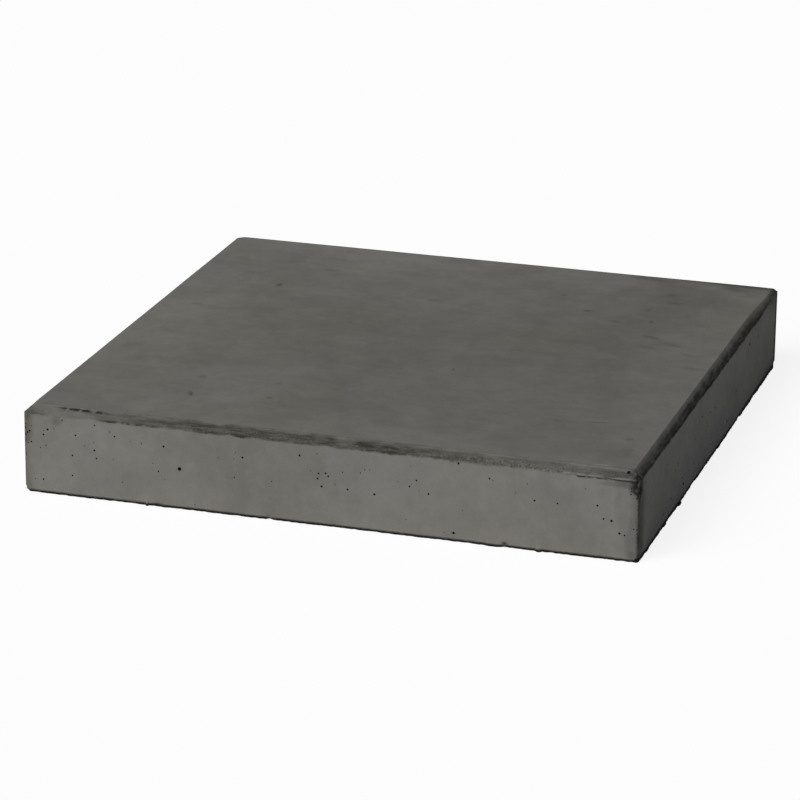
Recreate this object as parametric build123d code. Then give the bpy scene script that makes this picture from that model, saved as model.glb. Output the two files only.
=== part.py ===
from build123d import *

import os

# Flat concrete pillar cap: one piece, cast face down and laid on top of a masonry pillar.
# Millimetres, +Z up. The origin is the centre of the underside, on the plane that the cap rests on.
# X runs along the front edge and Y from front to back.

# Outside sizes of the slab
CAP_WIDTH = 450.0  # left to right
CAP_DEPTH = 450.0  # front to back
CAP_THICKNESS = 65.0  # underside to top face

# Arris: the chamfer that the mould's corner strips leave all round the top face
ARRIS_INSET = 6.0  # measured across the top face
ARRIS_DROP = 6.0  # measured down the side

# Upright corners are eased so that they come out of the mould whole
CORNER_RADIUS = 3.0

# Drip groove: a round-bottomed channel round the underside that sheds rain clear of the pillar
DRIP_WIDTH = 12.0
DRIP_DEPTH = 8.0
DRIP_EDGE_MARGIN = 20.0  # side face to the near lip of the groove
DRIP_INNER_BEND = 4.0  # radius of the groove's inner lip where it turns a corner


def cast_slab() -> Part:
    """The square slab with its eased upright corners and the arris round its top face."""
    side_height = CAP_THICKNESS - ARRIS_DROP
    with BuildPart() as slab:
        with BuildSketch():
            RectangleRounded(CAP_WIDTH, CAP_DEPTH, CORNER_RADIUS)
        extrude(amount=side_height)
        with BuildSketch(Plane.XY.offset(side_height)):
            RectangleRounded(CAP_WIDTH, CAP_DEPTH, CORNER_RADIUS)
        with BuildSketch(Plane.XY.offset(CAP_THICKNESS)):
            RectangleRounded(CAP_WIDTH - 2 * ARRIS_INSET, CAP_DEPTH - 2 * ARRIS_INSET, CORNER_RADIUS)
        loft(ruled=True)
    return slab.part


def drip_channel() -> Part:
    """The room taken by the drip groove: a channel section swept once round the underside."""
    half_width = DRIP_WIDTH / 2
    line_inset = DRIP_EDGE_MARGIN + half_width
    line_width = CAP_WIDTH - 2 * line_inset
    line_depth = CAP_DEPTH - 2 * line_inset
    wall_height = DRIP_DEPTH - half_width
    with BuildPart() as channel:
        with BuildSketch(mode=Mode.PRIVATE) as route:
            RectangleRounded(line_width, line_depth, DRIP_INNER_BEND + half_width)
        with BuildSketch(Plane.YZ):
            with Locations((-line_depth / 2, 0)):
                Rectangle(DRIP_WIDTH, 2 * wall_height)
            with Locations((-line_depth / 2, wall_height)):
                Circle(half_width)
        sweep(path=route.wire())
    return channel.part


def pillar_cap() -> Part:
    """The finished casting: the slab with its drip groove."""
    return cast_slab() - drip_channel()


os.makedirs("parts", exist_ok=True)
export_step(pillar_cap(), "parts/pillar_cap.step")
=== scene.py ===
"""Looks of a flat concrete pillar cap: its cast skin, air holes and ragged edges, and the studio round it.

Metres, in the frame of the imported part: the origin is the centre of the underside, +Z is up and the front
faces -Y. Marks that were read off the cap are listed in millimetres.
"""

import logging
import math
import random
from dataclasses import dataclass, field
from enum import Enum

import bmesh
import bpy
from mathutils import Matrix, Vector, noise

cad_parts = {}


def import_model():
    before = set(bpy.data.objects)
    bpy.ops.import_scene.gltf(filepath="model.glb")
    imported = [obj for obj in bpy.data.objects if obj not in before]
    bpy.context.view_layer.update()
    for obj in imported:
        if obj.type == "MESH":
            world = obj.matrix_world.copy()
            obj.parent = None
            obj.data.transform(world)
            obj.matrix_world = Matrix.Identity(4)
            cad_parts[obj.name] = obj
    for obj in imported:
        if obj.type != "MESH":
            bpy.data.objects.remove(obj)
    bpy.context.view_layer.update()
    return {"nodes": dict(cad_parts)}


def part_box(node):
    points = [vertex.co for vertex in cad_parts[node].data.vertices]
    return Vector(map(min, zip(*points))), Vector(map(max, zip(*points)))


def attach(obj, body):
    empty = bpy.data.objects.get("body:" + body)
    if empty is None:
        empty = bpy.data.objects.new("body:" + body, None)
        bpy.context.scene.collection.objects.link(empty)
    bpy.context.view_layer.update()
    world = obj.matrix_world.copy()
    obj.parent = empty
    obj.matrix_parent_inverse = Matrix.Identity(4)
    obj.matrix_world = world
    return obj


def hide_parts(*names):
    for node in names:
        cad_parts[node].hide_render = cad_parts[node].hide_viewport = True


Pair = tuple[float, float]
Triple = tuple[float, float, float]
Colour = tuple[float, float, float, float]
Node = bpy.types.Node
Shell = bmesh.types.BMesh
Socket = bpy.types.NodeSocket

LOG = logging.getLogger("pillar_cap")
MM = 0.001
DIAGONAL = math.sqrt(2.0)
VECTOR = "NodeSocketVector"
FLOAT = "NodeSocketFloat"
# Where nearly all values of a shader's noise lie
NOISE_SPAN: Pair = (0.3, 0.7)
FINE_SAND = 0.7 * MM
COARSE_SAND = 2.6 * MM
FINE_SHARE = 0.6


class Side(Enum):
    """The four upright faces, each with its outward direction and the direction counted along it."""

    FRONT = ((0.0, -1.0, 0.0), (1.0, 0.0, 0.0))
    RIGHT = ((1.0, 0.0, 0.0), (0.0, 1.0, 0.0))
    BACK = ((0.0, 1.0, 0.0), (-1.0, 0.0, 0.0))
    LEFT = ((-1.0, 0.0, 0.0), (0.0, -1.0, 0.0))

    @property
    def outward(self) -> Vector:
        """Unit vector that points out of the face."""
        return Vector(self.value[0])

    @property
    def along(self) -> Vector:
        """Unit vector along the face, left to right as seen from outside."""
        return Vector(self.value[1])


@dataclass(frozen=True)
class AirHole:
    """A bubble that was trapped against the mould, as its open mouth in a side face, in millimetres."""

    side: Side
    along: float
    up: float
    mouth: float

    def crowds(self, other: "AirHole") -> bool:
        """Tells if another hole on the same side is nearer than three quarters of both mouths."""
        apart = math.hypot(other.along - self.along, other.up - self.up)
        return other.side is self.side and apart <= 0.75 * (other.mouth + self.mouth)


@dataclass(frozen=True)
class FootMark:
    """A chip (negative reach) or a crumb of flash (positive reach) on the bottom edge, in millimetres."""

    side: Side
    along: float
    length: float
    height: float
    reach: float

    @property
    def lift(self) -> float:
        """How far the edge is raised: a chip raises it by its height and a crumb leaves it."""
        return 0.0 if self.reach > 0 else self.height


@dataclass(frozen=True)
class ArrisTone:
    """How dark and how gritty the arris is along one side: (place in millimetres, share) pairs.

    The stain rises between two distances across the arris from the top face's edge, in millimetres.
    """

    rise: Pair
    stain: tuple[Pair, ...]
    grit: tuple[Pair, ...]


@dataclass(frozen=True)
class ArrisLine:
    """A thin line along the arris, at a distance across it from the top face's edge, in millimetres.

    The depth is from 0 to 1 for a dark line, and below 0 for a line that the stain leaves bare, which paints
    a highlight.
    """

    side: Side
    start: float
    end: float
    across: float
    depth: float


@dataclass(frozen=True)
class CornerTone:
    """How an upright corner is worn: its place as signs of X and Y, then millimetres and a share.

    The dark line down the corner has one reach; above a height it widens to the upper reach. The arris of
    the left or right side narrows to the given one at the corner, and the top is worn down there.
    """

    signs: tuple[int, int]
    reach: float
    upper_reach: float
    upper_from: float
    black: float
    arris: float
    wear: float


@dataclass(frozen=True)
class Smudge:
    """A dark or light smear on the skin, some of them painted shade and some painted highlights: its middle
    and reach in millimetres, its turn in degrees.

    The tone multiplies the skin's colour at the middle, and the outline strays by the ragged share.
    """

    middle: Triple
    reach: Triple
    turn: float
    tone: float
    ragged: float = 1.6


@dataclass(frozen=True)
class Wave:
    """One scale of unevenness: how far it swings, how large its patches are, and a seed."""

    swing: float
    patch: float
    seed: float

    def at(self, place: Vector) -> float:
        """The unevenness at a point, from about minus to plus the swing."""
        shift = Vector((self.seed, 2.0 * self.seed, -self.seed))
        return self.swing * noise.noise(place / self.patch + shift)


# The air holes that stand out on the front face, as read off: along, up and mouth
FRONT_AIR_HOLES = tuple(
    AirHole(Side.FRONT, *hole)
    for hole in (
        (-107.2, 30.1, 2.6), (-206.5, 48.4, 1.5), (-209.6, 44.3, 1.3), (-219.0, 37.9, 1.2),
        (-185.3, 46.3, 1.2), (-171.1, 36.6, 1.4), (-169.7, 30.8, 1.2), (-187.9, 31.0, 1.2),
        (-155.8, 48.8, 1.2), (-170.7, 55.4, 1.0), (-119.0, 45.5, 1.5), (-123.0, 26.4, 1.2),
        (-60.3, 44.0, 1.4), (-210.4, 10.6, 1.2), (-188.2, 15.8, 1.2), (-18.3, 50.3, 1.4),
        (0.7, 39.3, 1.3), (2.7, 37.3, 1.3), (-4.4, 38.6, 1.2), (-5.1, 34.8, 1.3), (-2.2, 29.2, 1.4),
        (16.8, 29.2, 1.3), (36.4, 27.9, 1.5), (66.7, 41.7, 1.3), (61.7, 36.7, 1.2), (75.4, 32.8, 1.4),
        (118.9, 49.2, 1.2), (151.1, 36.9, 1.4), (167.3, 36.7, 1.2), (195.4, 38.5, 1.4),
        (205.5, 28.5, 1.7), (199.9, 29.3, 1.3), (211.3, 20.1, 1.6), (214.9, 19.1, 1.2), (93.8, 6.3, 1.8),
        (215.7, 62.8, 2.2), (96.6, 57.6, 1.5), (-159.5, 51.8, 0.8), (-135.5, 45.9, 0.8),
        (-221.3, 37.0, 0.8), (-207.9, 36.2, 0.8), (-212.2, 34.2, 0.8), (-150.3, 15.0, 0.7),
        (-65.5, 46.9, 0.7), (-66.3, 28.5, 0.8), (-38.9, 28.7, 0.8), (13.1, 41.4, 0.8), (26.2, 42.5, 0.8),
        (68.6, 34.2, 0.7), (100.0, 23.6, 0.7), (221.0, 24.2, 0.9), (-178.6, 39.2, 0.65),
        (-171.6, 42.4, 0.65), (-143.8, 46.5, 0.65), (-157.0, 31.6, 0.65), (-127.4, 32.1, 0.65),
        (-118.3, 21.0, 0.65), (-96.0, 4.7, 0.8), (-216.4, 10.2, 0.7), (-195.2, 56.5, 0.9),
        (-201.6, 49.3, 0.7), (-209.7, 47.2, 0.7), (-5.4, 52.9, 0.7), (-10.5, 39.9, 0.65),
        (29.3, 45.2, 0.7), (32.9, 45.6, 0.65), (62.2, 51.9, 0.65), (53.2, 39.5, 0.7), (-66.6, 42.2, 0.7),
        (-78.5, 41.7, 0.7), (59.4, 12.0, 0.7), (-61.5, 58.6, 0.9), (7.9, 31.6, 0.65), (121.3, 48.2, 0.7),
        (145.9, 48.4, 0.7), (137.6, 40.8, 0.7), (186.9, 49.5, 0.65), (87.1, 5.9, 0.7),
    )
)
# The chips and crumbs of the bottom edge, read off where they show: along, length, height, reach
FOOT_MARKS = tuple(
    FootMark(side, *sizes)
    for side, rows in (
        (Side.FRONT, (
            (-225.0, 8.0, 2.2, -0.8), (-131.6, 3.0, 1.0, 1.5), (122.0, 14.0, 1.0, 0.9),
            (131.0, 6.0, 0.3, -0.4), (154.7, 5.0, 1.0, 1.4),
        )),
        (Side.RIGHT, (
            (-199.0, 12.0, 1.0, 0.4), (-148.0, 12.0, 1.0, 0.6), (-104.0, 11.0, 1.0, 1.2),
            (-60.0, 22.0, 0.6, -0.4), (24.0, 12.0, 1.0, 0.3), (92.0, 9.0, 0.7, -0.4),
            (223.0, 12.0, 4.2, -1.2),
        )),
        (Side.BACK, (
            (-223.0, 8.0, 4.2, -1.2), (-140.0, 14.0, 0.9, -0.8), (35.0, 20.0, 1.0, 1.0),
            (170.0, 7.0, 1.1, -1.0),
        )),
        (Side.LEFT, (
            (-90.0, 16.0, 1.0, 0.9), (60.0, 8.0, 1.0, -0.9), (225.0, 8.0, 2.2, -0.8),
        )),
    )
    for sizes in rows
)
ARRIS_TONES = {
    Side.FRONT: ArrisTone(
        (-2.5, 2.5),
        (
            (-225, 0.45), (-210, 0.3), (-200, 0.25), (-165, 0.5), (-115, 0.75), (-76, 0.88), (-58, 0.88),
            (-25, 0.75), (5, 0.92), (12, 0.7), (18, 0.7), (27, 1.2), (36, 0.85), (47, 0.95), (60, 0.8),
            (97, 0.7), (130, 0.6), (151, 0.65), (169, 0.55), (186, 0.6), (215, 0.75), (225, 0.9),
        ),
        (
            (-225, 0.5), (-205, 0.2), (-165, 0.15), (-120, 0.3), (-90, 0.6), (-60, 0.5), (0, 0.45),
            (40, 0.55), (80, 0.55), (110, 0.8), (150, 0.85), (180, 0.5), (195, 0.3), (225, 0.9),
        ),
    ),
    Side.RIGHT: ArrisTone(
        (0.0, 5.8),
        (
            (-225, 1.0), (-200, 0.85), (-120, 1.0), (-60, 1.2), (0, 1.15), (70, 0.95), (140, 1.1),
            (190, 0.8), (225, 0.3),
        ),
        ((-225, 0.7), (-195, 0.15), (0, 0.15), (90, 0.4), (225, 0.4)),
    ),
    Side.BACK: ArrisTone(
        (-2.5, 2.5),
        ((-225, 0.4), (-150, 0.55), (-40, 0.9), (60, 0.95), (140, 0.65), (225, 0.4)),
        ((-225, 0.3), (-90, 0.6), (40, 0.3), (160, 0.7), (225, 0.3)),
    ),
    Side.LEFT: ArrisTone(
        (0.0, 5.8),
        ((-225, 0.4), (-130, 0.8), (-20, 0.65), (80, 0.9), (160, 0.5), (225, 0.25)),
        ((-225, 0.3), (-100, 0.4), (30, 0.7), (130, 0.4), (225, 0.1)),
    ),
}
ARRIS_LINES = (
    ArrisLine(Side.FRONT, -206, -160, 1.5, 1.0),
    ArrisLine(Side.FRONT, -202, -156, 2.5, 0.9),
    ArrisLine(Side.FRONT, -172, -118, 8.0, 0.8),
    ArrisLine(Side.FRONT, -228, -204, 7.8, 0.7),
    # Painted shadow under the ledge at the right end of the front
    ArrisLine(Side.FRONT, 170, 232, 9.3, 1.0),
    # Painted highlight on the ledge's lip, as a line that the stain leaves bare
    ArrisLine(Side.FRONT, 140, 230, 8.0, -0.8),
    ArrisLine(Side.RIGHT, -226, 200, 7.4, 0.85),
    ArrisLine(Side.BACK, -190, -60, 8.1, 0.6),
    ArrisLine(Side.BACK, 20, 190, 1.2, 0.6),
    ArrisLine(Side.LEFT, -150, 60, 8.2, 0.6),
)
CORNER_TONES = (
    CornerTone((1, -1), 1.1, 6.5, 46.0, 1.0, 6.0, 0.0),
    CornerTone((-1, -1), 1.6, 6.0, 36.0, 0.35, 6.0, 0.4),
    CornerTone((1, 1), 2.6, 4.0, 50.0, 0.85, 2.6, 0.0),
    CornerTone((-1, 1), 2.2, 4.5, 40.0, 0.6, 6.0, 0.9),
)
SMUDGES = tuple(
    Smudge(*smear)
    for smear in (
        ((-145.4, 103.9, 65), (3.6, 6.5, 3), 0, 0.5, 0.5), ((-118, 154, 65), (9, 4, 3), 0, 0.82),
        ((-120, 184, 65), (14, 4, 3), -3, 0.86), ((-126, -126, 65), (6, 6, 3), 0, 0.80),
        ((-121, -164, 65), (3, 9, 3), 25, 0.62), ((-68, -123, 65), (5, 4, 3), 0, 0.74),
        ((-65, -155, 65), (5, 4, 3), 0, 0.78), ((-20, 104, 65), (8, 5, 3), 10, 0.80),
        ((42, -52, 65), (2.4, 3, 3), 0, 0.55), ((144, -137, 65), (6, 3, 3), 0, 0.80),
        ((170, -133, 65), (14, 2, 3), 14, 0.78), ((200, -160, 65), (5, 5, 3), 0, 0.76),
        ((160, 68, 65), (12, 5, 3), -22, 0.74), ((180, 55, 65), (14, 6, 3), -18, 0.80),
        ((205, 5, 65), (14, 6, 3), -12, 0.82), ((117, 214, 65), (12, 7, 3), 0, 0.72),
        ((150, 200, 65), (24, 9, 3), -8, 0.84), ((195, 204, 65), (22, 10, 3), -8, 0.72),
        ((180, 170, 65), (60, 45, 6), 0, 0.93), ((-40, 20, 65), (120, 90, 6), 0, 0.95),
        # First smear: painted highlight on the top by the front arris, near its right end
        ((197, -216, 65), (10, 1.7, 3), 11, 1.45), ((-199.5, -225, 56), (7, 3, 6), 0, 0.72),
        # First smear: painted shadow under the front's ledge at the right corner
        ((213, -225, 55.5), (15, 3, 3.5), 0, 0.62), ((225, -219, 28), (3, 13, 60), 0, 0.42),
        # Second smear: painted shade down the back right corner
        ((222, -225, 26), (15, 3, 70), 0, 0.66), ((225, 222.9, 30), (3, 12, 200), 0, 0.08, 0.3),
        ((224, 214, 63), (6, 50, 17), 0, 0.55, 0.8), ((-224, -225, 18), (9, 3, 50), 0, 0.7),
        ((225, 165, 30), (4, 110, 70), 0, 0.94, 0.8), ((-221, -221, 62.5), (2.5, 2.5, 1.6), 0, 0.3),
        ((-185, -225, 30), (90, 9, 60), 0, 1.07), ((-20, -225, 30), (130, 9, 60), 0, 0.91),
        # Second smear: painted highlight on the lip of the front's ledge
        ((150, -225, 22), (120, 9, 45), 0, 0.92), ((198, -224, 59.5), (45, 3, 1.0), 0, 1.2),
        ((71.6, 149.6, 65), (4, 5, 3), 0, 0.78, 0.8), ((99.5, 116.3, 65), (6, 5, 3), 0, 0.70, 0.8),
        ((125.7, 97.2, 65), (8, 4, 3), 0, 0.74, 0.8), ((142.9, 132.2, 65), (4, 4, 3), 0, 0.74, 0.8),
        ((152.2, 104.3, 65), (3, 5, 3), 0, 0.72, 0.8), ((151, 175, 65), (8, 8, 3), 0, 0.76, 0.9),
        ((158, 156, 65), (12, 6, 3), 0, 0.80, 0.9), ((175.5, 125.7, 65), (4, 4, 3), 0, 0.80, 0.8),
        ((132, 211, 65), (28, 9, 3), -6, 0.72, 0.9), ((163, 43, 65), (13, 5, 3), -8, 0.82, 0.9),
        ((-189, 70, 65), (8, 5, 3), 0, 0.84), ((-191, 38, 65), (9, 5, 3), 0, 0.86),
        ((197, 35, 65), (9, 3, 3), -15, 0.84), ((207, -188, 65), (8, 12, 3), 0, 0.86),
        # First smear: painted shadow under the front's ledge; second: painted shade in a chip of the bottom
        # edge
        ((201, -225, 54.6), (9, 3, 2.6), 0, 0.72), ((130.3, -225, 2.8), (3.6, 3, 1.8), 0, 0.25),
        # First smear: painted shade in a recess of the bottom edge
        ((-124.8, -225, 1.8), (6, 3, 1.6), 0, 0.25), ((220, -225, 5.7), (4, 3, 4), 0, 0.8),
        ((203, 221, 65), (60, 16, 3), 0, 0.45, 0.8), ((150, 221, 65), (80, 7, 3), 0, 0.6, 0.8),
        ((0, 220.5, 65), (320, 4.5, 3), 0, 0.68, 0.5),
    )
)
# The unevenness of the casting: the skin's swing is in metres, the others' in millimetres or shares
SKIN_WAVE = Wave(0.10 * MM, 70 * MM, 3.1)
ARRIS_WOBBLE = (Wave(0.9, 9 * MM, 3.3), Wave(0.5, 3.0 * MM, 7.1))
ARRIS_ROUGHNESS = (Wave(0.12, 1.9 * MM, 5.7), Wave(0.16, 5.0 * MM, 9.2))
ARRIS_SPALLS = Wave(1.0, 14 * MM, 1.9)
LINE_BREAKS = (Wave(1.0, 7.0 * MM, 2.2), Wave(0.7, 2.5 * MM, 6.6))
CORNER_CRUMBS = (Wave(1.0, 2.2 * MM, 8.4), Wave(0.6, 6.0 * MM, 4.7))
CORNER_HEIGHT = Wave(4.0, 12 * MM, 3.9)
FOOT_REACH = (Wave(0.35, 20.0 * MM, 7.7), Wave(0.25, 6.0 * MM, 4.4), Wave(0.3, 2.2 * MM, 8.8))
FOOT_LIFT = Wave(0.3, 3.5 * MM, 2.6)
FOOT_CHIPS = Wave(1.0, 11 * MM, 6.3)
# How the painted contact shadow along the bottom edge wavers in height
FOOT_SHADOW_WOBBLE = Wave(0.4, 4 * MM, 1.3)


def uneven(place: Vector, waves: tuple[Wave, ...]) -> float:
    """The unevenness at a point from waves of several scales."""
    return sum(wave.at(place) for wave in waves)


def corner_at(place: Vector) -> CornerTone:
    """The upright corner in whose quarter of the cap a point lies."""
    return next(c for c in CORNER_TONES if c.signs[0] * place.x >= 0 and c.signs[1] * place.y >= 0)


def ease(value: float, low: float, high: float) -> float:
    """Rises smoothly from 0 at low to 1 at high."""
    share = min(max((value - low) / (high - low), 0.0), 1.0)
    return share * share * (3.0 - 2.0 * share)


def along_line(pairs: tuple[Pair, ...], where: float) -> float:
    """Reads a broken line.

    Args:
        pairs: its corners as (place, value), in order.
        where: the place to read it at.

    Returns:
        The value there, level beyond both ends.
    """
    for (low, first), (high, second) in zip(pairs, pairs[1:]):
        if where <= high:
            return first + (second - first) * min(max((where - low) / (high - low), 0.0), 1.0)
    return pairs[-1][1]


def as_object(shell: Shell, name: str) -> bpy.types.Object:
    """Turns a finished bmesh into an object at the origin.

    Args:
        shell: the mesh, which is freed.
        name: the object's name.

    Returns:
        The new object.
    """
    mesh = bpy.data.meshes.new(name)
    shell.to_mesh(mesh)
    shell.free()
    if "custom_normal" in mesh.attributes:
        mesh.attributes.remove(mesh.attributes["custom_normal"])
    made = bpy.data.objects.new(name, mesh)
    bpy.context.scene.collection.objects.link(made)
    return made


@dataclass(frozen=True)
class CapSize:
    """Sizes of the casting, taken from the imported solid."""

    half_width: float
    half_depth: float
    thickness: float
    arris: float

    @classmethod
    def of_solid(cls, solid: bpy.types.Object) -> "CapSize":
        """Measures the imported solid.

        Args:
            solid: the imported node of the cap.

        Returns:
            Its sizes, with the arris found from the narrower top face.
        """
        low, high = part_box(solid.name)
        near_top = high.z - 0.1 * MM
        top_reach = max(v.co.x for v in solid.data.vertices if v.co.z > near_top)
        return cls(high.x, high.y, high.z - low.z, high.x - top_reach)

    @property
    def band(self) -> float:
        """Distance across the arris from the top face's edge to the side face's, in millimetres."""
        return self.arris / MM * DIAGONAL

    def half_length(self, side: Side) -> float:
        """Half the length of a side face."""
        return self.half_width if side.along.x else self.half_depth

    def on_side(self, side: Side, along: float, up: float) -> Vector:
        """The point of a side face at a distance along it from its middle and a height above the floor."""
        reach = self.half_depth if side.along.x else self.half_width
        return side.outward * reach + side.along * along + Vector((0.0, 0.0, up))

    def gaps(self, place: Vector) -> Pair:
        """How far a point lies in from the nearer side along X and along Y."""
        return self.half_width - abs(place.x), self.half_depth - abs(place.y)

    def inset(self, place: Vector) -> float:
        """How far a point lies in from the nearest side."""
        return min(self.gaps(place))

    def nearest_side(self, place: Vector) -> Side:
        """Finds the side face that a point belongs to.

        Args:
            place: a point on the cap.

        Returns:
            The nearest side face.
        """
        gap_x, gap_y = self.gaps(place)
        if gap_x < gap_y:
            return Side.RIGHT if place.x > 0 else Side.LEFT
        return Side.BACK if place.y > 0 else Side.FRONT


@dataclass
class NodeSheet:
    """A shader node tree that is filled one linked node at a time."""

    tree: bpy.types.NodeTree

    @classmethod
    def of_group(cls, name: str, inputs: dict, outputs: dict) -> tuple["NodeSheet", Node, Node]:
        """Starts a node group.

        Args:
            name: the group's name.
            inputs: socket type by socket name.
            outputs: socket type by socket name.

        Returns:
            The group's sheet, its input node and its output node.
        """
        tree = bpy.data.node_groups.new(name, "ShaderNodeTree")
        for flow, sockets in (("INPUT", inputs), ("OUTPUT", outputs)):
            for socket, kind in sockets.items():
                tree.interface.new_socket(socket, in_out=flow, socket_type=kind)
        sheet = cls(tree)
        return sheet, sheet.add("NodeGroupInput"), sheet.add("NodeGroupOutput")

    @classmethod
    def of_material(cls, name: str) -> tuple[bpy.types.Material, "NodeSheet", Node]:
        """Starts a material.

        Args:
            name: the material's name.

        Returns:
            The material, the sheet of its nodes and its surface shader.
        """
        made = bpy.data.materials.new(name)
        made.use_nodes = True
        return made, cls(made.node_tree), made.node_tree.nodes["Principled BSDF"]

    def add(self, kind: str, settings: dict | None = None, inputs: dict | None = None) -> Node:
        """Adds a node.

        Args:
            kind: the node's type name.
            settings: values of its own properties.
            inputs: values or sockets for its inputs, by name or number.

        Returns:
            The new node.
        """
        node = self.tree.nodes.new(kind)
        for name, value in (settings or {}).items():
            setattr(node, name, value)
        self.fill(node, inputs or {})
        return node

    def fill(self, node: Node, inputs: dict) -> None:
        """Links a node's inputs to other sockets, or sets their values.

        Args:
            node: the node.
            inputs: values or sockets for its inputs, by name or number.
        """
        for name, value in inputs.items():
            if isinstance(value, Socket):
                self.tree.links.new(value, node.inputs[name])
            else:
                node.inputs[name].default_value = value

    def place(self) -> Socket:
        """Object coordinates."""
        return self.add("ShaderNodeTexCoord").outputs["Object"]

    def axes(self, place: Socket) -> tuple[Socket, ...]:
        """A place along X, Y and Z."""
        return tuple(self.add("ShaderNodeSeparateXYZ", None, {0: place}).outputs)

    def group(self, tree: bpy.types.NodeTree, inputs: dict) -> Node:
        """Places a node group with its own values."""
        return self.add("ShaderNodeGroup", {"node_tree": tree}, inputs)

    def math(self, operation: str, first: object, second: object = 0.0) -> Socket:
        """The result of a sum on one or two values."""
        return self.add("ShaderNodeMath", {"operation": operation}, {0: first, 1: second}).outputs[0]

    def vector_math(self, operation: str, inputs: dict) -> Node:
        """A node for a sum on vectors."""
        return self.add("ShaderNodeVectorMath", {"operation": operation}, inputs)

    def product(self, *factors: object) -> Socket:
        """Multiplies several values.

        Args:
            factors: the values.

        Returns:
            Their product.
        """
        result = factors[0]
        for factor in factors[1:]:
            result = self.math("MULTIPLY", result, factor)
        return result

    def weighted(self, *parts: tuple[object, object]) -> Socket:
        """Adds up values by weight.

        Args:
            parts: (weight, value) pairs.

        Returns:
            Their sum.
        """
        shares = [self.math("MULTIPLY", weight, value) for weight, value in parts]
        result = shares[0]
        for share in shares[1:]:
            result = self.math("ADD", result, share)
        return result

    def scaled(self, place: Socket, scale: Triple) -> Socket:
        """A place stretched along the axes."""
        return self.add("ShaderNodeMapping", None, {"Vector": place, "Scale": scale}).outputs[0]

    def noise(self, place: Socket, size: float, detail: float = 3.0, rough: float = 0.5) -> Socket:
        """Noise from 0 to 1 whose patches measure about that size."""
        inputs = {"Vector": place, "Scale": 1.0 / size, "Detail": detail, "Roughness": rough}
        return self.add("ShaderNodeTexNoise", None, inputs).outputs["Fac"]

    def ramp(self, value: Socket, low: float, high: float, start: object = 0.0, end: object = 1.0) -> Socket:
        """A value that goes smoothly from start to end while the given one goes from low to high."""
        inputs = {"Value": value, "From Min": low, "From Max": high, "To Min": start, "To Max": end}
        return self.add("ShaderNodeMapRange", {"interpolation_type": "SMOOTHSTEP"}, inputs).outputs["Result"]

    def blend(self, share: object, first: object, second: object, mode: str = "MIX") -> Socket:
        """One colour mixed into another, which a Mix node takes as inputs 6 and 7 and gives as output 2."""
        settings = {"data_type": "RGBA", "blend_type": mode}
        return self.add("ShaderNodeMix", settings, {0: share, 6: first, 7: second}).outputs[2]

    def own(self, name: str) -> Socket:
        """A value kept in the piece's own mesh."""
        return self.add("ShaderNodeAttribute", {"attribute_name": name}).outputs["Fac"]


def sand_grain_group() -> bpy.types.NodeTree:
    """The fine grain of sand under the cement skin.

    Returns:
        A group that turns a place into a tone near 1 and a height from 0 to 1.
    """
    inputs = {"Place": VECTOR, "Contrast": FLOAT}
    sheet, given, made = NodeSheet.of_group("sand_grain", inputs, {"Tone": FLOAT, "Height": FLOAT})
    fine = sheet.noise(given.outputs["Place"], FINE_SAND, 2.0, 0.6)
    coarse = sheet.noise(given.outputs["Place"], COARSE_SAND, 2.0, 0.5)
    height = sheet.weighted((FINE_SHARE, fine), (1.0 - FINE_SHARE, coarse))
    swing = sheet.math("MULTIPLY", sheet.math("SUBTRACT", height, 0.5), given.outputs["Contrast"])
    sheet.fill(made, {"Tone": sheet.math("ADD", swing, 1.0), "Height": height})
    return sheet.tree


def smudge_group() -> bpy.types.NodeTree:
    """A soft-edged smear with a ragged outline.

    Returns:
        A group that turns a place into the tone that the smear leaves there.
    """
    inputs = dict.fromkeys(("Place", "Middle", "Reach", "Turn"), VECTOR)
    inputs |= {"Tone": FLOAT, "Ragged": FLOAT}
    sheet, given, made = NodeSheet.of_group("smudge", inputs, {"Tone": FLOAT})
    names = {"Vector": "Place", "Location": "Middle", "Rotation": "Turn", "Scale": "Reach"}
    taken = {socket: given.outputs[name] for socket, name in names.items()}
    inside = sheet.add("ShaderNodeMapping", {"vector_type": "TEXTURE"}, taken).outputs[0]
    away = sheet.vector_math("LENGTH", {0: inside}).outputs["Value"]
    # Sets the outline of each smear apart from the others in the noise
    shift = sheet.vector_math("SCALE", {0: given.outputs["Middle"], "Scale": 90.0}).outputs[0]
    apart = sheet.vector_math("ADD", {0: inside, 1: shift}).outputs[0]
    swing = sheet.math("SUBTRACT", sheet.noise(apart, 0.9, 4.0, 0.6), 0.5)
    edge = sheet.math("ADD", away, sheet.math("MULTIPLY", swing, given.outputs["Ragged"]))
    sheet.fill(made, {"Tone": sheet.ramp(edge, 0.0, 1.0, given.outputs["Tone"], 1.0)})
    return sheet.tree


@dataclass(frozen=True)
class Blotches:
    """Cloudiness of one scale: the noise's patch size, detail and roughness, its tones and its stretch."""

    patch: float
    detail: float
    rough: float
    tones: Pair
    stretch: Triple | None = None

    def tone(self, sheet: NodeSheet, place: Socket) -> Socket:
        """The tone that the blotches give a material at Object coordinates, near 1."""
        where = sheet.scaled(place, self.stretch) if self.stretch else place
        return sheet.ramp(sheet.noise(where, self.patch, self.detail, self.rough), *NOISE_SPAN, *self.tones)


@dataclass(frozen=True)
class Zones:
    """Where a point lies on the cap.

    It has the place along X, the distance in from the nearest side, masks for the top, the sides and the
    underside, and a mask that is 1 where the nearest side is the left or the right one.
    """

    x: Socket
    inset: Socket
    top: Socket
    side: Socket
    under: Socket
    sideways: Socket


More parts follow.
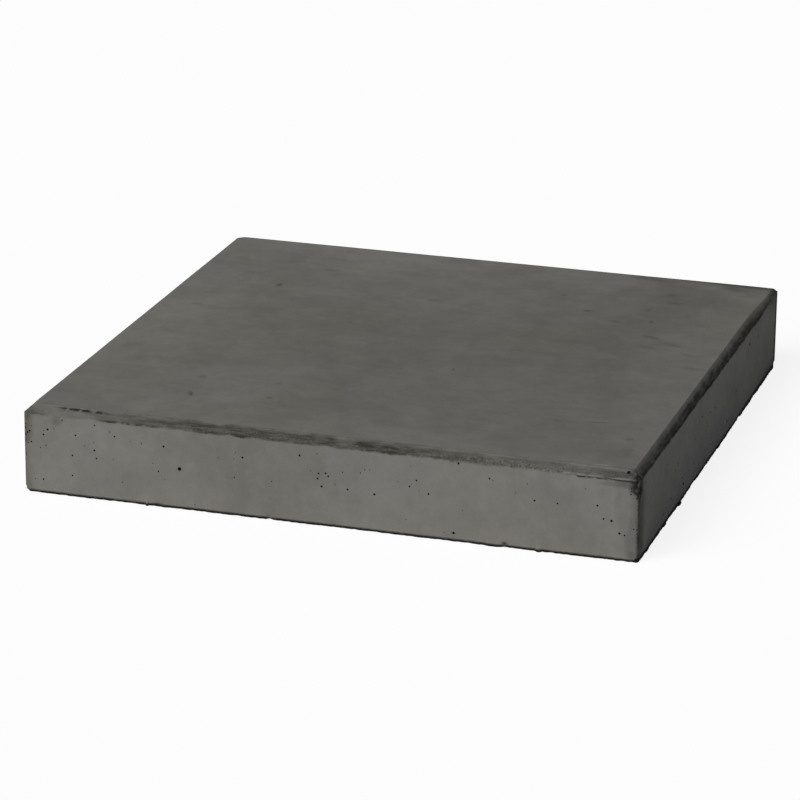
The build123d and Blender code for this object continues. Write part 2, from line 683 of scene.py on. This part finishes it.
@dataclass(frozen=True)
class ConcreteFinish:
    """Grey cast concrete: cloudy cement skin, dark gritty arris, smears on top, a floated underside."""

    size: CapSize
    warm: Colour = (0.1210, 0.1160, 0.1055, 1.0)
    cool: Colour = (0.1190, 0.1165, 0.1095, 1.0)
    stain: Colour = (0.20, 0.19, 0.165, 1.0)
    # The black of the dark lines also paints contact shadow along the bottom edge and shadow under the
    # front's ledge
    black: Colour = (0.007, 0.007, 0.0065, 1.0)
    pale_grit: Colour = (0.14, 0.135, 0.122, 1.0)
    deep_grit: Colour = (0.020, 0.019, 0.017, 1.0)
    specular: float = 0.08
    roughness: Pair = (0.92, 0.80)
    grain_contrast: float = 0.16
    grit_patch: float = 1.5 * MM
    grit_rise: float = 3.0
    bump_strength: float = 0.5
    bump_height: float = 0.12 * MM
    edge_span: Pair = (5 * MM, 7 * MM)
    top_span: Pair = (12 * MM, 4 * MM)
    tint_patch: float = 150 * MM
    tint_span: Pair = (0.38, 0.62)
    halo_patch: float = 45 * MM
    halo_stray: float = 40 * MM
    halo_reach: float = 85 * MM
    halo_tones: Pair = (1.09, 0.965)
    slope_span: Pair = (-150 * MM, 190 * MM)
    slope_tones: Pair = (1.01, 0.88)
    streak_width: float = 2.6 * MM
    streak_stretch: float = 0.16
    streak_tones: Pair = (0.66, 1.2)
    pale_span: Pair = (0.60, 0.70)
    pale_share: float = 0.5
    deep_span: Pair = (0.44, 0.32)
    deep_share: float = 0.85
    clouds: tuple[Blotches, ...] = (
        Blotches(100 * MM, 2.0, 0.5, (0.95, 1.05)),
        Blotches(28 * MM, 5.0, 0.6, (0.94, 1.06)),
        Blotches(9 * MM, 4.0, 0.6, (0.965, 1.035)),
    )
    wiped: Blotches = Blotches(11 * MM, 4.0, 0.6, (0.98, 1.02), (0.2, 1.0, 1.0))
    runs: Blotches = Blotches(9 * MM, 3.0, 0.55, (0.985, 1.015), (1.0, 1.0, 0.18))
    floated: Blotches = Blotches(18 * MM, 5.0, 0.65, (0.86, 1.12), (1.0, 0.3, 1.0))

    def material(self) -> bpy.types.Material:
        """Builds the material.

        Returns:
            The finished material.
        """
        made, sheet, shader = NodeSheet.of_material("cast_concrete")
        place = sheet.place()
        zones = self.zones(sheet, place)
        grain = sheet.group(sand_grain_group(), {"Place": place, "Contrast": self.grain_contrast}).outputs
        clouds = self.cloud_tone(sheet, place, zones)
        tone = sheet.product(clouds, self.smear_tone(sheet, place), grain["Tone"])
        tint = sheet.ramp(sheet.noise(place, self.tint_patch, 2.0), *self.tint_span)
        skin = sheet.blend(1.0, sheet.blend(tint, self.warm, self.cool), tone, "MULTIPLY")
        grit = sheet.noise(place, self.grit_patch, 1.0, 0.5)
        raised = sheet.product(grit, sheet.own("grit"), self.grit_rise)
        height = sheet.math("ADD", grain["Height"], raised)
        relief = {"Height": height, "Strength": self.bump_strength, "Distance": self.bump_height}
        inputs = {
            "Base Color": self.torn(sheet, self.stained(sheet, place, zones, skin), grit),
            "Roughness": sheet.ramp(grain["Height"], *NOISE_SPAN, *self.roughness),
            "Specular IOR Level": self.specular,
            "Normal": sheet.add("ShaderNodeBump", None, relief).outputs["Normal"],
        }
        sheet.fill(shader, inputs)
        return made

    def zones(self, sheet: NodeSheet, place: Socket) -> Zones:
        """Finds where a point lies on the cap.

        Args:
            sheet: the material's nodes.
            place: Object coordinates.

        Returns:
            Its place and the masks.
        """
        x, y, z = sheet.axes(place)
        gap_x = sheet.math("SUBTRACT", self.size.half_width, sheet.math("ABSOLUTE", x))
        gap_y = sheet.math("SUBTRACT", self.size.half_depth, sheet.math("ABSOLUTE", y))
        inset = sheet.math("MINIMUM", gap_x, gap_y)
        inner = sheet.ramp(inset, *self.edge_span)
        high = sheet.ramp(z, *(self.size.thickness - drop for drop in self.top_span))
        top = sheet.math("MULTIPLY", inner, high)
        side = sheet.math("SUBTRACT", 1.0, inner)
        under = sheet.math("SUBTRACT", inner, top)
        return Zones(x, inset, top, side, under, sheet.math("LESS_THAN", gap_x, gap_y))

    def cloud_tone(self, sheet: NodeSheet, place: Socket, zones: Zones) -> Socket:
        """The cloudiness of the skin: blotches all over, wiped streaks on top, run marks on the sides.

        The top is paler along its edges, and darkens towards the right.

        Args:
            sheet: the material's nodes.
            place: Object coordinates.
            zones: where that is on the cap.

        Returns:
            A tone near 1.
        """
        patches = sheet.noise(place, self.halo_patch, 3.0)
        stray = sheet.ramp(patches, 0.2, 0.8, -self.halo_stray, self.halo_stray)
        halo = sheet.ramp(sheet.math("ADD", zones.inset, stray), 0.0, self.halo_reach, *self.halo_tones)
        slope = sheet.ramp(zones.x, *self.slope_span, *self.slope_tones)
        local = sheet.weighted(
            (zones.top, sheet.product(halo, slope, self.wiped.tone(sheet, place))),
            (zones.side, self.runs.tone(sheet, place)),
            (zones.under, self.floated.tone(sheet, place)),
        )
        return sheet.product(*(blotches.tone(sheet, place) for blotches in self.clouds), local)

    def smear_tone(self, sheet: NodeSheet, place: Socket) -> Socket:
        """The single smears and specks on the skin, among them painted shade and painted highlights at the
        front's ledge, in chips of the bottom edge and down the back right corner.

        Args:
            sheet: the material's nodes.
            place: Object coordinates.

        Returns:
            A tone of 1 beside them, lower in the dark ones and higher in the light ones.
        """
        tree = smudge_group()
        tones = []
        for smudge in SMUDGES:
            inputs = {
                "Place": place,
                "Middle": Vector(smudge.middle) * MM,
                "Reach": Vector(smudge.reach) * MM,
                "Turn": (0.0, 0.0, math.radians(smudge.turn)),
                "Tone": smudge.tone,
                "Ragged": smudge.ragged,
            }
            tones.append(sheet.group(tree, inputs).outputs["Tone"])
        return sheet.product(*tones)

    def stained(self, sheet: NodeSheet, place: Socket, zones: Zones, skin: Socket) -> Socket:
        """Darkens the arris with streaks that run along it.

        Args:
            sheet: the material's nodes.
            place: Object coordinates.
            zones: where that is on the cap.
            skin: the colour of the sound skin.

        Returns:
            The stained colour.
        """
        slow = self.streak_stretch
        along_x, along_y = (
            sheet.noise(sheet.scaled(place, stretch), self.streak_width, 4.0, 0.65)
            for stretch in ((slow, 1.0, 1.0), (1.0, slow, 1.0))
        )
        lengthways = sheet.math("SUBTRACT", 1.0, zones.sideways)
        streaks = sheet.weighted((lengthways, along_x), (zones.sideways, along_y))
        blotchy = sheet.ramp(streaks, *NOISE_SPAN, *self.streak_tones)
        share = sheet.math("MINIMUM", sheet.math("MULTIPLY", sheet.own("stain"), blotchy), 1.0)
        return sheet.blend(share, skin, sheet.blend(1.0, skin, self.stain, "MULTIPLY"))

    def torn(self, sheet: NodeSheet, colour: Socket, grit: Socket) -> Socket:
        """Bares sand grains where the skin is torn, and blackens the dark lines, which include painted
        contact shadow along the bottom edge and painted shadow under the front's ledge.

        Args:
            sheet: the material's nodes.
            colour: the colour of the stained skin.
            grit: the height of the bare grains.

        Returns:
            The finished colour.
        """
        torn = sheet.own("grit")
        pale = sheet.product(sheet.ramp(grit, *self.pale_span), torn, self.pale_share)
        deep = sheet.product(sheet.ramp(grit, *self.deep_span), torn, self.deep_share)
        colour = sheet.blend(pale, colour, self.pale_grit)
        colour = sheet.blend(deep, colour, self.deep_grit)
        # The black attribute holds dark lines, painted contact shadow and painted ledge shadow
        return sheet.blend(sheet.own("black"), colour, self.black)


@dataclass(frozen=True)
class AirHoleShadeFinish:
    """The dark inside of an air hole, painted shade that deepens the shadow the hole's shape casts."""

    # Near-black colours that paint the shade deep inside the hole
    deep: Colour = (0.014, 0.0135, 0.0125, 1.0)
    lip: Colour = (0.03, 0.029, 0.027, 1.0)
    patch: float = 0.8 * MM
    roughness: float = 0.9
    specular: float = 0.1

    def material(self) -> bpy.types.Material:
        """Builds the material.

        Returns:
            The finished material.
        """
        made, sheet, shader = NodeSheet.of_material("air_hole")
        patches = sheet.noise(sheet.place(), self.patch, 2.0)
        inputs = {
            "Base Color": sheet.blend(patches, self.deep, self.lip),
            "Roughness": self.roughness,
            "Specular IOR Level": self.specular,
        }
        sheet.fill(shader, inputs)
        return made


@dataclass
class CastCap:
    """The casting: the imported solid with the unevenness, chips and air holes of real concrete.

    The bands along its edges reach as far as the rim and the foot say. Coarse and fine are the lengths of
    the mesh's edges outside and inside those bands. The heights, mouths and spans are in millimetres.
    """

    solid: bpy.types.Object
    size: CapSize
    coarse: float = 7.5 * MM
    fine: float = 0.95 * MM
    rim: float = 3.0 * MM
    foot: float = 5.0 * MM
    seed: int = 7
    holes_per_side: int = 56
    pits_per_corner: int = 40
    hole_margin: float = 6.0
    hole_heights: Pair = (4.0, 57.0)
    hole_mouths: Pair = (0.6, 1.5)
    large_mouths: Pair = (1.6, 2.6)
    large_share: float = 0.08
    low_pit_mouth: float = 1.0
    ball_share: float = 0.68
    sunk_share: float = 0.55
    ledge_depth: float = 0.6 * MM
    ledge_start: Pair = (170.0, 190.0)
    ledge_end: Pair = (11.0, 13.0)
    fill_span: Pair = (4.0, 90.0)
    wear_span: Pair = (11.0, 18.0)
    # Heights in millimetres of the painted contact shadow along the bottom edge, higher on the right side
    foot_shadow_line: float = 1.4
    right_foot_shadow_line: Pair = (2.9, 4.5)
    crease: float = math.radians(38.0)
    dice: random.Random = field(init=False)

    def __post_init__(self) -> None:
        """Starts the dice that place the smaller holes."""
        self.dice = random.Random(self.seed)

    def build(self) -> bpy.types.Object:
        """Makes the piece.

        Returns:
            The finished object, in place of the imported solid.
        """
        shell = bmesh.new()
        shell.from_mesh(self.solid.data)
        bmesh.ops.remove_doubles(shell, verts=shell.verts[:], dist=0.001 * MM)
        self.cut_grid(shell)
        self.refine_edges(shell)
        self.roughen(shell)
        piece = as_object(shell, "pillar_cap_casting")
        piece.data.materials.append(ConcreteFinish(self.size).material())
        self.open_air_holes(piece)
        self.tone_skin(piece.data)
        piece.data.shade_smooth()
        piece.data.set_sharp_from_angle(angle=self.crease)
        return piece

    def cut_grid(self, shell: Shell) -> None:
        """Cuts the solid's large faces into an even grid, with lines along the edges that are refined later.

        Args:
            shell: the copy of the solid.
        """
        size = self.size
        rim = size.arris + self.rim
        level = math.radians(0.2)
        bmesh.ops.dissolve_limit(shell, angle_limit=level, verts=shell.verts[:], edges=shell.edges[:])
        for axis, half in ((0, size.half_width), (1, size.half_depth)):
            self.cut_lines(shell, axis, self.lines(rim - half, half - rim))
            self.cut_lines(shell, axis, [self.foot - half, half - self.foot])
        self.cut_lines(shell, 2, self.lines(self.foot, size.thickness - rim))

    def lines(self, low: float, high: float) -> list[float]:
        """Evenly spaced places from low to high, about one coarse step apart."""
        count = round((high - low) / self.coarse)
        return [low + (high - low) * step / count for step in range(count + 1)]

    def cut_lines(self, shell: Shell, axis: int, places: list[float]) -> None:
        """Cuts the shell along planes across one axis.

        Args:
            shell: the copy of the solid.
            axis: 0, 1 or 2 for X, Y or Z.
            places: where the planes cross that axis.
        """
        across = Vector([float(axis == number) for number in range(3)])
        for place in places:
            whole = shell.verts[:] + shell.edges[:] + shell.faces[:]
            point = across * place
            bmesh.ops.bisect_plane(shell, geom=whole, dist=0.01 * MM, plane_co=point, plane_no=across)

    def edge_zone(self, place: Vector) -> bool:
        """Tells if a point lies in the band along the arris, the upright corners or the bottom edge.

        Args:
            place: a point on the shell.

        Returns:
            True if it lies in one of them.
        """
        slack = 0.05 * MM
        rim = self.size.arris + self.rim + slack
        foot = self.foot + slack
        inset, other = sorted(self.size.gaps(place))
        near_top = place.z > self.size.thickness - rim and inset < rim
        near_foot = place.z < foot and inset < foot
        return near_top or near_foot or other < foot

    def refine_edges(self, shell: Shell) -> None:
        """Halves the long edges along the arris, the corners and the bottom edge until they are fine.

        Args:
            shell: the gridded shell.
        """
        tolerance = 1.4
        longest = self.coarse
        while longest > tolerance * self.fine:
            longest /= 2
            too_long = [e for e in shell.edges if e.calc_length() > tolerance * longest]
            coarse = [e for e in too_long if all(self.edge_zone(v.co) for v in e.verts)]
            bmesh.ops.subdivide_edges(shell, edges=coarse, cuts=1, use_grid_fill=True)

    def roughen(self, shell: Shell) -> None:
        """Moves the skin by the small unevenness of a casting and breaks its edges.

        Args:
            shell: the refined shell.
        """
        shell.normal_update()
        moves = [self.skin_move(v.co, v.normal) for v in shell.verts]
        for vert, move in zip(shell.verts, moves):
            vert.co += move
            vert.co.z = max(vert.co.z, 0.0)

    def band_place(self, place: Vector) -> tuple[Side, float, float]:
        """Where a point lies along and across the arris.

        Args:
            place: a point on the cap.

        Returns:
            The side that it belongs to, the distance along that side, and the distance across the arris,
            which is 0 at the top face's edge and grows down the side. Both are in millimetres.
        """
        size = self.size
        side = size.nearest_side(place)
        inset = size.inset(place)
        drop = size.thickness - place.z
        if inset >= size.arris:
            across = size.arris - inset
        elif drop <= size.arris:
            across = DIAGONAL * drop
        else:
            across = (DIAGONAL - 1.0) * size.arris + drop
        return side, side.along.dot(place) / MM, across / MM

    def tone_skin(self, mesh: bpy.types.Mesh) -> None:
        """Stores how stained, how torn and how black the skin is at each point; the black includes painted
        shadow.

        Args:
            mesh: the finished mesh of the casting.
        """
        layers = [mesh.attributes.new(name, "FLOAT", "POINT") for name in ("stain", "grit", "black")]
        for vert in mesh.vertices:
            for layer, value in zip(layers, self.skin_tone(vert.co)):
                layer.data[vert.index].value = min(max(value, 0.0), 1.0)

    def skin_tone(self, place: Vector) -> Triple:
        """How stained, how torn and how black the skin is at a point; the black includes painted contact
        shadow along the bottom edge and painted shadow under the front's ledge.

        Args:
            place: a point on the casting.

        Returns:
            The stain, the grit and the black, each from 0 to 1.
        """
        stain, grit, line = self.arris_tone(place)
        worn, burnt = self.corner_tone(place)
        return max(stain, worn), max(grit, 0.7 * worn), max(line, self.foot_contact_shadow(place), burnt)

    def arris_tone(self, place: Vector) -> Triple:
        """The stain, the grit and the thin black lines of the band along the arris, among them the painted
        shadow and the painted highlight of the front's ledge.

        Args:
            place: a point on the casting.

        Returns:
            The stain, the grit and the black.
        """
        side, along, across = self.band_place(place)
        lower = self.size.band
        margin = 4.0
        if not -margin < across < lower + margin:
            return 0.0, 0.0, 0.0
        tones = ARRIS_TONES[side]
        wobble = uneven(place, ARRIS_WOBBLE)
        fall = 1.0 - ease(across + 1.1 * wobble, lower - 0.6, lower + 0.7)
        rise = ease(across + wobble, *tones.rise)
        torn = ease(across + wobble, 2.0, 5.0)
        black = bare = 0.0
        # Dark lines include painted shadow under the front's ledge; a bare line paints the highlight on its
        # lip
        for line in ARRIS_LINES:
            if line.side is side and line.start < along < line.end:
                share = self.line_share(line, place, along, across + 0.3 * wobble)
                black, bare = max(black, share), max(bare, -share)
        sound = fall * (1.0 - bare)
        stain = rise * along_line(tones.stain, along) * sound
        return stain, torn * along_line(tones.grit, along) * sound, black

    @staticmethod
    def line_share(line: ArrisLine, place: Vector, along: float, across: float) -> float:
        """How much of a broken line along the arris shows at a point.

        Args:
            line: the line.
            place: a point on the casting.
            along: the point's distance along the side, in millimetres.
            across: its distance across the arris, in millimetres.

        Returns:
            The line's depth, or the part of it that is left there.
        """
        depth = abs(line.depth)
        unbroken = ease(uneven(place, LINE_BREAKS), 0.4 - depth, 1.0 - depth)
        ends = ease(min(along - line.start, line.end - along), 0.0, 12.0)
        near = 1.0 - ease(abs(across - line.across), 0.3, 1.0)
        return line.depth * near * unbroken * ends

    def foot_contact_shadow(self, place: Vector) -> float:
        """The painted contact shadow: a black line along the bottom edge, which stands higher on the right
        side towards the back.

        Args:
            place: a point on the casting.

        Returns:
            The black.
        """
        height = self.foot_shadow_line
        if place.x > self.size.half_width - self.rim:
            front, back = self.right_foot_shadow_line
            height = front + (back - front) * ease(place.y, 60.0 * MM, 200.0 * MM)
        on_side = 1.0 - ease(self.size.inset(place) / MM, 1.4, 2.4)
        return on_side * (1.0 - ease(place.z / MM + FOOT_SHADOW_WOBBLE.at(place), height, height + 0.9))

    def corner_tone(self, place: Vector) -> Pair:
        """The dark, crumbly line down an upright corner.

        Args:
            place: a point on the casting.

        Returns:
            The stain and the black.
        """
        corner = corner_at(place)
        gap = max(self.size.gaps(place)) / MM
        if gap > 12.0:
            return 0.0, 0.0
        up = place.z / MM + CORNER_HEIGHT.at(place)
        upper = ease(up, corner.upper_from - 4.0, corner.upper_from + 6.0)
        reach = corner.reach + (corner.upper_reach - corner.reach) * upper
        crumbs = uneven(place, CORNER_CRUMBS)
        share = 1.0 - ease(gap + 1.2 * crumbs, 0.5 * reach, 1.5 * reach)
        specks = ease(crumbs, 0.7 - corner.black, 1.3 - corner.black)
        black = corner.black * (0.5 + 0.5 * upper)
        return (0.3 + 0.45 * corner.black) * share, black * share * specks

    def skin_move(self, place: Vector, normal: Vector) -> Vector:
        """How far one point of the skin lies off the true shape.

        Args:
            place: the point on the true shape.
            normal: the outward direction there.

        Returns:
            The move from the true shape to the cast one.
        """
        side, along, across = self.band_place(place)
        lower = self.size.band
        move = normal * SKIN_WAVE.at(place)
        near_arris = ease(across, -1.0, 2.0) * (1.0 - ease(across, lower, lower + 3.0))
        if near_arris > 0.0:
            torn = 0.3 + 0.7 * along_line(ARRIS_TONES[side].grit, along)
            spall = ease(ARRIS_SPALLS.at(place), 0.4, 0.8)
            rough = uneven(place, ARRIS_ROUGHNESS) - 0.35 * spall
            move += normal * (near_arris * torn * MM * rough)
        if side is Side.FRONT and across > lower:
            move -= normal * self.ledge(along, across)
        move.z += self.corner_fill(place) - self.corner_wear(place)
        foot_gap = math.hypot(place.z, self.size.inset(place))
        near_foot = 1.0 - ease(foot_gap, 0.6 * MM, self.foot)
        if near_foot > 0.0 and place.z < self.foot:
            move += self.foot_move(place) * near_foot
        return move

    def ledge(self, along: float, across: float) -> float:
        """The ledge that a mould joint left under the arris, at the right end of the front.

        Args:
            along: a point's distance along the front, in millimetres.
            across: its distance across the arris and down the front, in millimetres.

        Returns:
            How deep it lies.
        """
        upper = ease(across, self.size.band, self.size.band + 0.6)
        lower = 1.0 - ease(across, *self.ledge_end)
        return self.ledge_depth * ease(along, *self.ledge_start) * upper * lower

    def corner_fill(self, place: Vector) -> float:
        """How much higher the arris stands near a corner where it runs out.

        Args:
            place: the point on the true shape.

        Returns:
            The rise.
        """
        size = self.size
        slack = 0.01 * MM
        if place.z < size.thickness - size.arris - slack or size.inset(place) > size.arris:
            return 0.0
        gap_x, gap_y = size.gaps(place)
        narrowest = corner_at(place).arris * MM
        narrow = narrowest + (size.arris - narrowest) * ease(gap_y / MM, *self.fill_span)
        drop = max(narrow - gap_x, size.arris - gap_y, 0.0)
        return max(size.thickness - drop - place.z, 0.0)

    def corner_wear(self, place: Vector) -> float:
        """How far the top is worn down at a corner.

        Args:
            place: the point on the true shape.

        Returns:
            The drop.
        """
        size = self.size
        near = 1.0 - ease(sum(size.gaps(place)) / MM, *self.wear_span)
        high = ease(place.z, size.thickness - size.arris, size.thickness)
        return corner_at(place).wear * MM * near * high

    def foot_move(self, place: Vector) -> Vector:
        """How the ragged bottom edge departs from a straight one.

        Args:
            place: the point on the true shape.

        Returns:
            The move at the very edge.
        """
        side = self.size.nearest_side(place)
        along = side.along.dot(place) / MM
        chip = ease(FOOT_CHIPS.at(place), 0.45, 0.85)
        reach = uneven(place, FOOT_REACH) - 0.9 * chip
        lift = 0.15 + FOOT_LIFT.at(place) + 0.8 * chip
        for mark in FOOT_MARKS:
            if mark.side is side:
                weight = 1.0 - ease(abs(along - mark.along) / (0.5 * mark.length), 0.4, 1.0)
                reach += (mark.reach - reach) * weight
                lift += (mark.lift - lift) * weight
        return (side.outward * reach + Vector((0.0, 0.0, lift))) * MM

    def open_air_holes(self, piece: bpy.types.Object) -> None:
        """Cuts the air holes out of the side faces, whose insides take the painted shade.

        Args:
            piece: the casting.
        """
        bubbles = bmesh.new()
        holes = list(FRONT_AIR_HOLES)
        for side in (Side.RIGHT, Side.BACK, Side.LEFT):
            holes += self.scattered_holes(side)
        holes += self.corner_pits(holes)
        for hole in holes:
            self.add_bubble(bubbles, hole)
        cutter = as_object(bubbles, "air_bubbles")
        # The cutter's painted-shade material passes to the holes' insides
        cutter.data.materials.append(AirHoleShadeFinish().material())
        cut = piece.modifiers.new("air_holes", "BOOLEAN")
        cut.operation = "DIFFERENCE"
        cut.solver = "MANIFOLD"
        cut.material_mode = "TRANSFER"
        cut.object = cutter
        graph = bpy.context.evaluated_depsgraph_get()
        cast = bpy.data.meshes.new_from_object(piece.evaluated_get(graph), depsgraph=graph)
        piece.modifiers.clear()
        piece.data = cast
        cast.name = piece.name
        bpy.data.objects.remove(cutter)

    def scattered_holes(self, side: Side) -> list[AirHole]:
        """Holes strewn over a side face, clear of each other, a few of them large.

        Args:
            side: the face.

        Returns:
            The new holes.
        """
        made: list[AirHole] = []
        half = self.size.half_length(side) / MM - self.hole_margin
        low = self.hole_heights[0]
        top = (self.size.thickness - self.size.arris - self.rim) / MM
        least, most = self.hole_mouths
        while len(made) < self.holes_per_side:
            mouth = least + (most - least) * self.dice.random() ** 2
            if self.dice.random() < self.large_share:
                mouth = self.dice.uniform(*self.large_mouths)
            hole = AirHole(side, self.dice.uniform(-half, half), self.dice.uniform(low, top), mouth)
            if not any(hole.crowds(other) for other in made):
                made.append(hole)
        return made

    def corner_pits(self, taken: list[AirHole]) -> list[AirHole]:
        """Small pits crowded along the upright corners, most of them high up.

        Args:
            taken: the holes placed so far.

        Returns:
            The new pits, clear of each other and of those already there.
        """
        made: list[AirHole] = []
        low, top = self.hole_heights
        least, most = self.hole_mouths
        for corner in CORNER_TONES:
            side = Side.FRONT if corner.signs[1] < 0 else Side.BACK
            outer = corner.signs[0] * side.along.x
            for number in range(round(self.pits_per_corner * corner.black)):
                high = number % 3 > 0
                reach = corner.upper_reach if high else corner.reach
                up = self.dice.uniform(*((corner.upper_from, top) if high else (low, corner.upper_from)))
                in_by = 0.4 + reach * self.dice.random() ** 1.6
                along = outer * (self.size.half_length(side) / MM - in_by)
                mouth = self.dice.uniform(least, most if high else self.low_pit_mouth)
                pit = AirHole(side, along, up, mouth)
                if not any(pit.crowds(other) for other in taken + made):
                    made.append(pit)
        return made

    def add_bubble(self, bubbles: Shell, hole: AirHole) -> None:
        """Adds the ball of air behind a hole's mouth, set deeper where the face slopes back in the arris.

        Args:
            bubbles: the mesh that gathers the balls.
            hole: the hole.
        """
        radius = self.ball_share * hole.mouth * MM
        depth = self.sunk_share * radius + max(hole.up * MM - self.size.thickness + self.size.arris, 0.0)
        centre = self.size.on_side(hole.side, hole.along * MM, hole.up * MM) - hole.side.outward * depth
        turn = Matrix.Rotation(self.dice.uniform(0.0, math.tau), 4, "Z")
        pose = Matrix.Translation(centre) @ turn
        bmesh.ops.create_icosphere(bubbles, subdivisions=2, radius=radius, matrix=pose)


def direction(azimuth: float, elevation: float) -> Vector:
    """Unit vector towards a place round the cap: azimuth 0 is the front, and both angles are in degrees."""
    turn, rise = math.radians(azimuth), math.radians(elevation)
    return Vector((math.sin(turn) * math.cos(rise), -math.cos(turn) * math.cos(rise), math.sin(rise)))


@dataclass
class Studio:
    """Pale floor, soft light and the camera."""

    size: CapSize
    azimuth: float = 16.995
    elevation: float = 18.931
    roll: float = 0.514
    distance: float = 2.901
    sideways: float = -13.68 * MM
    upward: float = 18.80 * MM
    lens: float = 174.06
    sensor: float = 36.0
    floor_reach: float = 8.0
    floor_gap: float = 0.2 * MM
    floor_colour: Colour = (0.53, 0.53, 0.53, 1.0)
    floor_light: Colour = (0.332, 0.341, 0.351, 1.0)
    light_below: Colour = (1.1, 1.12, 1.15, 1.0)
    light_inset: float = 2.5 * MM
    seen_colour: Colour = (0.11, 0.11, 0.113, 1.0)
    seen_light: Colour = (0.995, 0.995, 1.0, 1.0)
    seen_glow: float = 0.87
    key_azimuth: float = -30.0
    key_elevation: float = 43.0
    key_strength: float = 4.6
    key_spread: float = 45.0
    key_colour: Triple = (1.0, 0.985, 0.955)
    fill_strength: float = 0.07
    fill_colour: Colour = (0.62, 0.80, 1.0, 1.0)
    backdrop: Colour = (0.93, 0.93, 0.93, 1.0)

    def build(self) -> None:
        """Sets up the floor, the lights, the world and the camera."""
        self.add_floor()
        self.add_key_light()
        self.set_world()
        self.add_camera()
        bpy.context.scene.view_settings.view_transform = "Standard"

    def add_floor(self) -> None:
        """Lays a wide, pale, softly glowing floor."""
        plane = bmesh.new()
        bmesh.ops.create_grid(plane, x_segments=1, y_segments=1, size=self.floor_reach)
        bmesh.ops.translate(plane, verts=plane.verts[:], vec=(0.0, 0.0, -self.floor_gap))
        floor = as_object(plane, "studio_floor")
        floor.data.materials.append(self.floor_material())

    def floor_material(self) -> bpy.types.Material:
        """Builds the floor's material, which can be seen through from below.

        The camera sees it paler than the cap does, so that the shadow stays faint. It glows more right under
        the cap, so that the underside is lit too.

        Returns:
            The finished material.
        """
        made, sheet, lit = NodeSheet.of_material("studio_floor")
        made.cycles.emission_sampling = "NONE"
        seen = sheet.add("ShaderNodeBsdfPrincipled")
        looks = (
            (lit, self.floor_colour, self.glow(sheet), 1.0),
            (seen, self.seen_colour, self.seen_light, self.seen_glow),
        )
        for shader, colour, light, strength in looks:
            sheet.fill(shader, {"Base Color": colour, "Roughness": 1.0, "Specular IOR Level": 0.0})
            sheet.fill(shader, {"Emission Color": light, "Emission Strength": strength})
        first = sheet.add("ShaderNodeLightPath").outputs["Is Camera Ray"]
        pale = sheet.add("ShaderNodeMixShader", None, {0: first, 1: lit.outputs[0], 2: seen.outputs[0]})
        below = sheet.add("ShaderNodeNewGeometry").outputs["Backfacing"]
        clear = sheet.add("ShaderNodeBsdfTransparent").outputs[0]
        mixed = sheet.add("ShaderNodeMixShader", None, {0: below, 1: pale.outputs[0], 2: clear})
        sheet.fill(made.node_tree.nodes["Material Output"], {"Surface": mixed.outputs[0]})
        return made

    def glow(self, sheet: NodeSheet) -> Socket:
        """The light that the floor gives off.

        Args:
            sheet: the floor material's nodes.

        Returns:
            Its colour, brighter under the cap.
        """
        x, y, _ = sheet.axes(sheet.place())
        reach = sheet.math("MAXIMUM", sheet.math("ABSOLUTE", x), sheet.math("ABSOLUTE", y))
        covered = sheet.math("LESS_THAN", reach, self.size.half_width - self.light_inset)
        return sheet.blend(covered, self.floor_light, self.light_below)

    def add_key_light(self) -> None:
        """Lights the cap softly and evenly from the front, above and to the left."""
        lamp = bpy.data.lights.new("soft_key", "SUN")
        lamp.energy = self.key_strength
        lamp.angle = math.radians(self.key_spread)
        lamp.color = self.key_colour
        made = bpy.data.objects.new("soft_key", lamp)
        bpy.context.scene.collection.objects.link(made)
        made.rotation_mode = "QUATERNION"
        towards = direction(self.key_azimuth, self.key_elevation)
        made.rotation_quaternion = towards.to_track_quat("Z", "Y")

    def set_world(self) -> None:
        """Gives the room a faint cool light and a pale backdrop."""
        world = bpy.data.worlds.new("studio")
        world.use_nodes = True
        bpy.context.scene.world = world
        sheet = NodeSheet(world.node_tree)
        faint = world.node_tree.nodes["Background"]
        sheet.fill(faint, {"Color": self.fill_colour, "Strength": self.fill_strength})
        pale = sheet.add("ShaderNodeBackground", None, {"Color": self.backdrop})
        seen = sheet.add("ShaderNodeLightPath").outputs["Is Camera Ray"]
        mixed = sheet.add("ShaderNodeMixShader", None, {0: seen, 1: faint.outputs[0], 2: pale.outputs[0]})
        sheet.fill(world.node_tree.nodes["World Output"], {"Surface": mixed.outputs[0]})

    def add_camera(self) -> None:
        """Puts the camera where the photograph was taken from."""
        lens = bpy.data.cameras.new("camera")
        lens.lens = self.lens
        lens.sensor_width = self.sensor
        lens.clip_end = 100.0
        camera = bpy.data.objects.new("camera", lens)
        bpy.context.scene.collection.objects.link(camera)
        back = direction(self.azimuth, self.elevation)
        turn = back.to_track_quat("Z", "Y").to_matrix() @ Matrix.Rotation(math.radians(self.roll), 3, "Z")
        stand = turn @ Vector((self.sideways, self.upward, self.distance))
        camera.matrix_world = Matrix.Translation(stand) @ turn.to_4x4()
        bpy.context.scene.camera = camera


def main() -> None:
    """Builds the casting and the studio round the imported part."""
    logging.basicConfig(level=logging.INFO, format="%(name)s: %(message)s")
    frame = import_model()
    solid = frame["nodes"]["pillar_cap"]
    size = CapSize.of_solid(solid)
    casting = CastCap(solid, size).build()
    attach(casting, "root")
    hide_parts("pillar_cap")
    casting.data.calc_loop_triangles()
    LOG.info("%s: %d triangles", casting.name, len(casting.data.loop_triangles))
    Studio(size).build()


if __name__ == "__main__":
    main()
